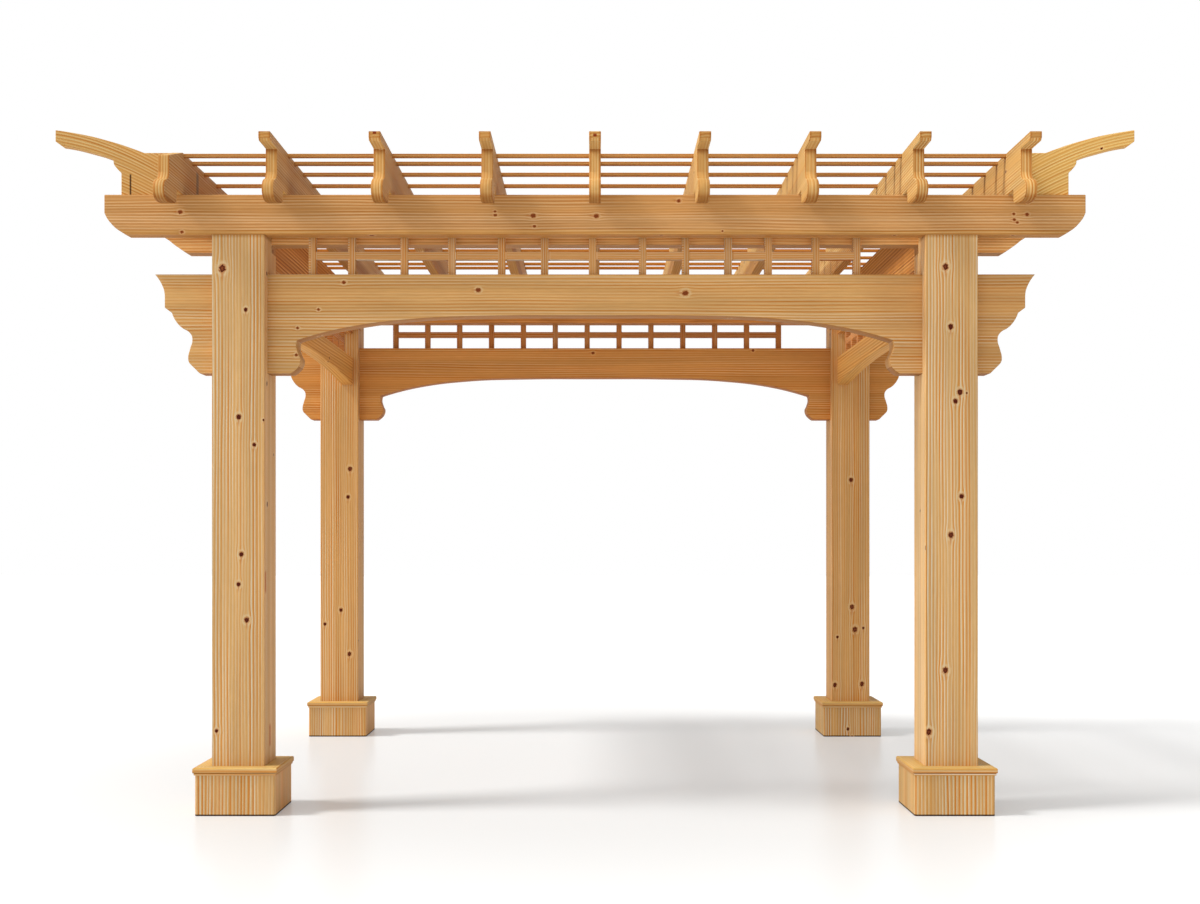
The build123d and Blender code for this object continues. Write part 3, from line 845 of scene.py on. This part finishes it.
class PERGOLA_OT_feet(PergolaOperator, bpy.types.Operator):
    """Boxed feet of four mitred boards each, with a mitred fillet and cap above"""

    bl_idname = "pergola.feet"
    bl_label = "Boxed feet"

    def make(self, context, wood):
        first = POSTS[0]
        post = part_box("post_" + first)
        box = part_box("foot_box_" + first)
        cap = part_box("foot_cap_" + first)
        ledge = cap[0].z + wood.fillet_height
        under = wood.fillet_setback
        boards = self.mitred(box[0], box[1], wood.board_thickness, wood.board_corner, 0.0, wood)
        fillet = self.mitred(
            cap[0] + Vector((under, under, 0.0)),
            Vector((cap[1].x - under, cap[1].y - under, ledge)),
            post[0].x - cap[0].x - under,
            0.0,
            0.0,
            wood,
        )
        top = self.mitred(
            Vector((cap[0].x, cap[0].y, ledge)), cap[1], post[0].x - cap[0].x, 0.0, wood.cap_slope, wood
        )
        self.pick(fillet, top)
        bpy.ops.object.join()
        for index, place in enumerate(POSTS):
            move = (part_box("post_" + place)[0] - post[0]) * Vector((1.0, 1.0, 0.0))
            self.set_down(boards, "foot_box_" + place, move, self.box_pine(place, index, wood))
            self.set_down(top, "foot_cap_" + place, move, self.cap_pine(place, index, wood))
        self.pick(boards, top)
        bpy.ops.object.delete()

    def pick(self, *pieces):
        """Selects these objects alone, the last of them active."""
        bpy.ops.object.select_all(action="DESELECT")
        for piece in pieces:
            piece.select_set(True)
        bpy.context.view_layer.objects.active = pieces[-1]

    def mitred(self, low, high, width, corner, slope, wood):
        """Ring of four mitred boards between two corners: the front one is shaped, copied and turned."""
        middle = (low + high) / 2
        size = high - low
        bpy.ops.object.select_all(action="DESELECT")
        bpy.ops.mesh.primitive_cube_add(
            size=1.0, location=(middle.x, low.y + width / 2, middle.z), scale=(size.x, width, size.z)
        )
        ring = bpy.context.active_object
        bpy.ops.object.transform_apply(location=True, rotation=True, scale=True)
        bpy.ops.object.mode_set(mode="EDIT")
        bpy.ops.mesh.select_all(action="DESELECT")
        bpy.ops.object.mode_set(mode="OBJECT")
        for face in ring.data.polygons:
            face.select = face.normal.y > 0.9
        bpy.ops.object.mode_set(mode="EDIT")
        bpy.ops.transform.resize(
            value=(1.0 - 2.0 * width / size.x, 1.0, 1.0), center_override=(middle.x, low.y + width, middle.z)
        )
        if corner:
            for side in (-1.0, 1.0):
                cut = (middle.x + side * (size.x / 2 - corner), low.y, middle.z)
                self.cut_away(cut, (side, -1.0, 0.0))
        if slope:
            self.cut_away((middle.x, low.y + slope, high.z), (0.0, -1.0, 1.0))
        bpy.ops.object.mode_set(mode="OBJECT")
        self.pick(ring)
        eased = ring.modifiers.new("Eased edges", "BEVEL")
        eased.width = wood.board_ease
        eased.segments = 2
        eased.limit_method = "ANGLE"
        eased.angle_limit = math.radians(30.0)
        bpy.ops.object.modifier_apply(modifier=eased.name)
        bpy.ops.object.mode_set(mode="EDIT")
        bpy.ops.mesh.select_all(action="SELECT")
        for _ in range(3):
            bpy.ops.mesh.duplicate()
            bpy.ops.transform.rotate(
                value=math.pi / 2, orient_axis="Z", center_override=(middle.x, middle.y, middle.z)
            )
        bpy.ops.object.mode_set(mode="OBJECT")
        return ring

    def cut_away(self, place, outwards):
        """Cuts the piece in edit mode by a plane and closes the cut."""
        bpy.ops.mesh.select_all(action="SELECT")
        bpy.ops.mesh.bisect(plane_co=place, plane_no=outwards, use_fill=True, clear_outer=True)

    def set_down(self, pattern, name, move, material):
        """Copies a shaped piece to its post, where it stands for the CAD node."""
        self.pick(pattern)
        bpy.ops.object.duplicate()
        piece = bpy.context.active_object
        bpy.ops.transform.translate(value=move)
        bpy.ops.object.transform_apply(location=True, rotation=True, scale=True)
        piece.name = name.replace("foot_", "mitred_")
        piece.data.name = piece.name
        piece.data.materials.append(material)
        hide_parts(name)
        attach(piece, "root")

    def box_pine(self, place, index, wood):
        """Upright boards with a painted contact shadow, a dark line where they stand on the floor."""
        line = ((ramp("Z", 0.0, FLOOR_SHADOW_HEIGHT),), FLOOR_SHADOW_LINE, None)
        # Painted light on the sides of the feet
        sides = ((), LEFT_FOOT_LIGHT if "left" in place else RIGHT_FOOT_LIGHT, "X")
        name = "foot_box_" + place
        return pine(
            name + " pine",
            wood.foot_colour,
            "Z",
            "Y",
            seed_of(BOX_SEEDS, index),
            FOOT_PITCH,
            strength=1.2,
            wander=0.04,
            knots=knots_on(name),
            stains=(line, sides),
            stray=0.0,
        )

    def cap_pine(self, place, index, wood):
        """Level boards, mitred at the corners, with a painted shadow line under the cap's edge and painted
        light on the fillet and on the tops.
        """
        low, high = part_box("foot_cap_" + place)
        ledge = low.z + wood.fillet_height
        stains = (
            ((), PAINTED_CAP_LIGHT, "Z"),
            ((ramp("Z", ledge, CAP_SHADOW_TOP), ramp("Z", ledge, CAP_SHADOW_FOOT)), CAP_SHADOW_LINE, "Y"),
            ((ramp("Z", ledge, FILLET_LIGHT_BAND),), PAINTED_FILLET_LIGHT, "Y"),
        )
        return pine(
            "foot_cap_" + place + " pine",
            wood.cap_colour,
            "X",
            "Z",
            seed_of(CAP_SEEDS, index),
            CAP_PITCH,
            strength=0.8,
            shape=cap_grain((low + high) / 2),
            stains=stains,
            stray=0.0,
        )


class PERGOLA_OT_beams(PergolaOperator, bpy.types.Operator):
    """Planed pine on the arched beams and the paired headers"""

    bl_idname = "pergola.beams"
    bl_label = "Beams and headers"

    def make(self, context, wood):
        for index, side in enumerate(("front", "back")):
            # The back timbers get painted shade: a deeper, more orange tone
            tone = BACK_PAINTED_SHADE if side == "back" else PLAIN
            timbers = (
                ("arched_beam_", wood.beam_colour, BEAM_PITCH, BEAM_LINES),
                ("outer_header_", wood.header_colour, HEADER_PITCH, DARK_LINES),
                ("inner_header_", wood.header_colour, HEADER_PITCH, DARK_LINES),
            )
            for row, (kind, colour, pitch, lines) in enumerate(timbers):
                name = kind + side
                low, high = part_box(name)
                material = pine(
                    name + " pine",
                    shade(colour, tone)[:3],
                    "X",
                    "Y",
                    seed_of(BEAM_SEEDS, index) + ROW_SEED * row,
                    pitch,
                    wander=0.025,
                    knots=knots_on(name),
                    lines=lines,
                    stains=self.stains(name, low.z, high.z),
                    heart=RED_HEART,
                    ends_above=0.0,
                    pith=(low.y - 0.013, low.z + 0.07),
                )
                dress(name, material)

    def stains(self, name, bottom, top):
        """Painted shade: darker undersides and right end of the beams and lower edge of the headers. Painted
        light: paler lower half of the headers and paler lower band of the front inner header.
        """
        stains = []
        if "arched_beam" in name:
            stains.append(((), ARCH_UNDERSIDE_SHADE, "Z"))
        if name == "arched_beam_front":
            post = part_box("post_front_right")[0].x
            stains.append(((ramp("X", post, BEAM_SHADE_BAND),), RIGHT_BEAM_SHADE, "Y"))
        if "outer_header" in name:
            stains.append(((ramp("Z", bottom, HEADER_SHADE_BAND),), HEADER_FOOT_SHADE, None))
            stains.append(((ramp("Z", (bottom + top) / 2, HEADER_LIGHT_BAND),), PAINTED_HALF_LIGHT, "Y"))
        if name == "inner_header_front":
            stains.append(((ramp("Z", bottom, STEP_LIGHT_BAND),), STEP_PAINTED_LIGHT, "Y"))
        return stains


class PERGOLA_OT_side_frames(PergolaOperator, bpy.types.Operator):
    """Planed pine on the side headers and rails"""

    bl_idname = "pergola.side_frames"
    bl_label = "Side frames"

    def make(self, context, wood):
        for index, side in enumerate(("left", "right")):
            timbers = (
                ("side_header_", wood.side_colour, STRONG_LINES),
                ("side_rail_", wood.rail_colour, DARK_LINES),
            )
            for row, (kind, colour, lines) in enumerate(timbers):
                name = kind + side
                seed = seed_of(SIDE_SEEDS, index) + ROW_SEED * row
                # The left side header gets painted shade: a darker tone
                if name == "side_header_left":
                    colour = shade(colour, LEFT_HEADER_PAINTED_SHADE)[:3]
                material = pine(name + " pine", colour, "Y", "X", seed, SIDE_PITCH, lines=lines)
                dress(name, material)


class PERGOLA_OT_lattices(PergolaOperator, bpy.types.Operator):
    """Planed pine on the lattices"""

    bl_idname = "pergola.lattices"
    bl_label = "Lattices"

    def make(self, context, wood):
        sides = (("front", "X"), ("back", "X"), ("left", "Y"), ("right", "Y"))
        for index, (side, axis) in enumerate(sides):
            name = "lattice_" + side if axis == "X" else "side_lattice_" + side
            broad = "Y" if axis == "X" else "X"
            material = pine(
                name + " pine",
                wood.front_lattice_colour if side == "front" else wood.lattice_colour,
                "Z",
                broad,
                seed_of(LATTICE_SEEDS, index),
                LATTICE_PITCH,
                shape=lattice_grain(name, axis),
                stray=0.0,
            )
            dress(name, material)


class PERGOLA_OT_rafters(PergolaOperator, bpy.types.Operator):
    """Planed pine on the rafters and the corner tails"""

    bl_idname = "pergola.rafters"
    bl_label = "Rafters and corner tails"

    def make(self, context, wood):
        for number in range(1, RAFTERS + 1):
            name = f"rafter_{number}"
            low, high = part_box(name)
            material = pine(
                name + " pine",
                wood.rafter_colour,
                "Y",
                "X",
                seed_of(RAFTER_SEEDS, number),
                RAFTER_PITCH,
                ends_above=high.z - NOSE_HEIGHT,
                pith=((low.x + high.x) / 2 + 0.01, high.z - 0.14),
                lines=RAFTER_LINES,
                stains=self.shades(number, low, high) + self.marks(number, low, high),
            )
            dress(name, material)
        for index, place in enumerate(POSTS):
            name = "corner_tail_" + place
            # Painted shade on the left corner tails and painted light on the right ones
            tone = LEFT_TAIL_PAINTED_SHADE if "left" in place else RIGHT_TAIL_PAINTED_LIGHT
            material = pine(
                name + " pine",
                shade(wood.rafter_colour, tone)[:3],
                "X",
                "Y",
                seed_of(TAIL_SEEDS, index),
                TAIL_PITCH,
                lines=RAFTER_LINES,
                shape=tail_grain,
                stains=[self.crack(name)] if place == "front_left" else [],
            )
            dress(name, material)

    def shades(self, number, low, high):
        """Darker upright edges and fronts of a rafter; painted shade on its necks, bulbs and lower sides,
        and on the sides of the rafters left of the middle.
        """
        nose_bottom = high.z - NOSE_HEIGHT
        header_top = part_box("outer_header_front")[1].z
        stains = [
            ((ramp("X", high.x, RIGHT_EDGE_BAND),), DARK_UPRIGHT_EDGE, "Y"),
            ((ramp("X", low.x, LEFT_EDGE_BAND),), DARK_UPRIGHT_EDGE, "Y"),
            ((ramp("Z", nose_bottom, NECK_HEIGHT), ramp("Y", low.y, NECK_DEPTH)), NOSE_SHADE, "Y"),
            ((ramp("Z", low.z, BULB_HEIGHT),), NOSE_SHADE, None),
            ((), NOSE_FRONT, "Y"),
            ((ramp("Z", header_top, SHADE_HEIGHT), ramp("Y", 0.0, SHADE_PLACES)), RAFTER_SHADE, None),
        ]
        # Painted shade on the sides of the rafters left of the middle
        if number < MIDDLE_RAFTER:
            stains.append(((), RAFTER_SIDE_SHADE, "X"))
        return stains

    def marks(self, number, low, high):
        """Marks on single rafters: a grey strip on the leftmost one, red marks on two of the noses."""
        if number == 1:
            depth = EYE.y + high.x * FOCAL_PIXELS / (STRIP_HEAD[0] - CENTRE_COLUMN)
            top = spot_at(*STRIP_HEAD, depth)[1]
            bottom = spot_at(*STRIP_FOOT, depth)[1]
            side = ramp("X", high.x, RIGHT_FACE)
            return [patch("Y", depth, 0.016, bottom, top, GREY_STRIP, side, 0.008)]
        if number in RED_MARK_DEPTHS:
            middle = (low.x + high.x) / 2
            place = high.z - RED_MARK_DEPTHS[number]
            side = ramp("Y", low.y, NOSE_FACE)
            return [patch("X", middle, 0.006, place - 0.004, place + 0.003, RED_MARK, side)]
        return []

    def crack(self, name):
        """Dark crack on the front of a corner tail."""
        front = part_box(name)[0].y
        x, low = spot_at(*CRACK_FOOT, front)
        high = spot_at(*CRACK_HEAD, front)[1]
        return patch("X", x, 0.0025, low, high, CRACK, ramp("Y", front, FRONT_FACE))


class PERGOLA_OT_slats(PergolaOperator, bpy.types.Operator):
    """Planed pine on the roof slats"""

    bl_idname = "pergola.slats"
    bl_label = "Roof slats"

    def make(self, context, wood):
        for index, group in enumerate(("front", "middle", "back")):
            name = "slats_" + group
            # Painted shade that deepens towards the far slats
            far = ((ramp("Y", 0.0, SLAT_SHADE_SPAN),), FAR_SLAT_SHADE, None)
            material = pine(
                name + " pine",
                shade(wood.slat_colour, NEAR_SLATS)[:3],
                "X",
                "Z",
                seed_of(SLAT_SEEDS, index),
                SLAT_PITCH,
                lines=RAFTER_LINES,
                stains=(far,),
                stray=0.0,
            )
            dress(name, material)


class PERGOLA_OT_edges(PergolaOperator, bpy.types.Operator):
    """Small rounded edges on the timbers of the frame"""

    bl_idname = "pergola.edges"
    bl_label = "Eased edges"

    def make(self, context, wood):
        for name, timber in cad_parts.items():
            if name.startswith("foot"):
                continue
            weld = timber.modifiers.new("Joined corners", "WELD")
            weld.merge_threshold = 0.00001
            flat = timber.modifiers.new("Whole faces", "DECIMATE")
            flat.decimate_type = "DISSOLVE"
            flat.angle_limit = 0.01
            eased = timber.modifiers.new("Eased edges", "BEVEL")
            eased.width = wood.edge_width
            eased.segments = 2
            eased.limit_method = "ANGLE"
            eased.angle_limit = math.radians(35.0)


class PERGOLA_PT_panel(bpy.types.Panel):
    """Lists the pergola's finishes and its stage"""

    bl_idname = "PERGOLA_PT_panel"
    bl_label = "Pergola"
    bl_space_type = "VIEW_3D"
    bl_region_type = "UI"
    bl_category = "Pergola"

    def draw(self, context):
        for operator in OPERATORS:
            self.layout.operator(operator.bl_idname)
        for settings in (context.scene.pergola_wood, context.scene.pergola_studio):
            for label in settings.__annotations__:
                self.layout.prop(settings, label)


OPERATORS = (
    PERGOLA_OT_stage,
    PERGOLA_OT_posts,
    PERGOLA_OT_feet,
    PERGOLA_OT_beams,
    PERGOLA_OT_side_frames,
    PERGOLA_OT_lattices,
    PERGOLA_OT_rafters,
    PERGOLA_OT_slats,
    PERGOLA_OT_edges,
)
CLASSES = (PergolaWood, PergolaStudio, *OPERATORS, PERGOLA_PT_panel)


def register():
    """Registers the classes and the scene's settings."""
    for cls in CLASSES:
        bpy.utils.register_class(cls)
    bpy.types.Scene.pergola_wood = bpy.props.PointerProperty(type=PergolaWood)
    bpy.types.Scene.pergola_studio = bpy.props.PointerProperty(type=PergolaStudio)


def unregister():
    """Removes what register added."""
    del bpy.types.Scene.pergola_studio
    del bpy.types.Scene.pergola_wood
    for cls in reversed(CLASSES):
        bpy.utils.unregister_class(cls)


def main():
    """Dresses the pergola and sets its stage."""
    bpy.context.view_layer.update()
    register()
    for operator in OPERATORS:
        group, name = operator.bl_idname.split(".")
        getattr(getattr(bpy.ops, group), name)()


if __name__ == "__main__":
    main()
